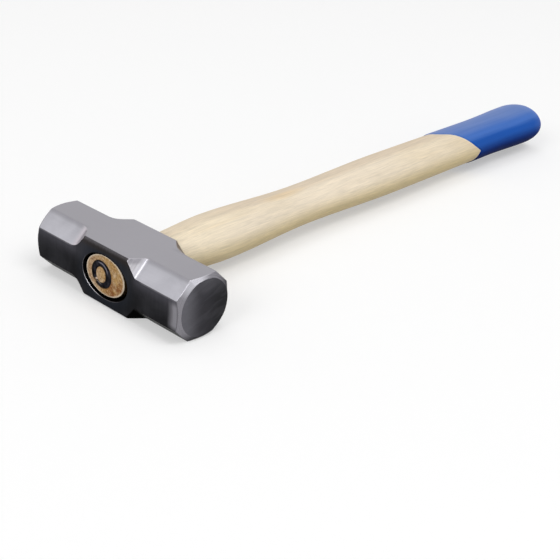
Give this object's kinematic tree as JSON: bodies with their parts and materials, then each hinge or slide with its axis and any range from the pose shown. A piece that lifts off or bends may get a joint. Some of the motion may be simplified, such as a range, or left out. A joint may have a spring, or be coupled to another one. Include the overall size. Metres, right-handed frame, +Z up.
{
  "type": "sledge hammer",
  "caption": "Hand sledge hammer with an octagonal double-faced steel head on an oval wooden handle, held by a ring wedge, with a painted grip end.",
  "frame": {"origin": "middle of the lower cheek of the head, under the centre of the eye, on the surface that the hammer lies on", "axes": "+X along the head to its right striking face, +Y along the handle from the head to the butt, +Z up out of the upper cheek"},
  "size_m": [0.13, 0.4706, 0.04],
  "materials": {
    "forged_steel": "ground cheeks and chamfers, darker eye faces",
    "pale_wood": "clear satin lacquer over pale straight grain",
    "wedge_steel": "dark oiled steel",
    "blue_paint": "semi-gloss dipped paint"
  },
  "bodies": {
    "root": {"head": "forged_steel", "handle": "pale_wood", "ring_wedge": "wedge_steel", "grip_coating": "blue_paint"}
  },
  "joints": []
}
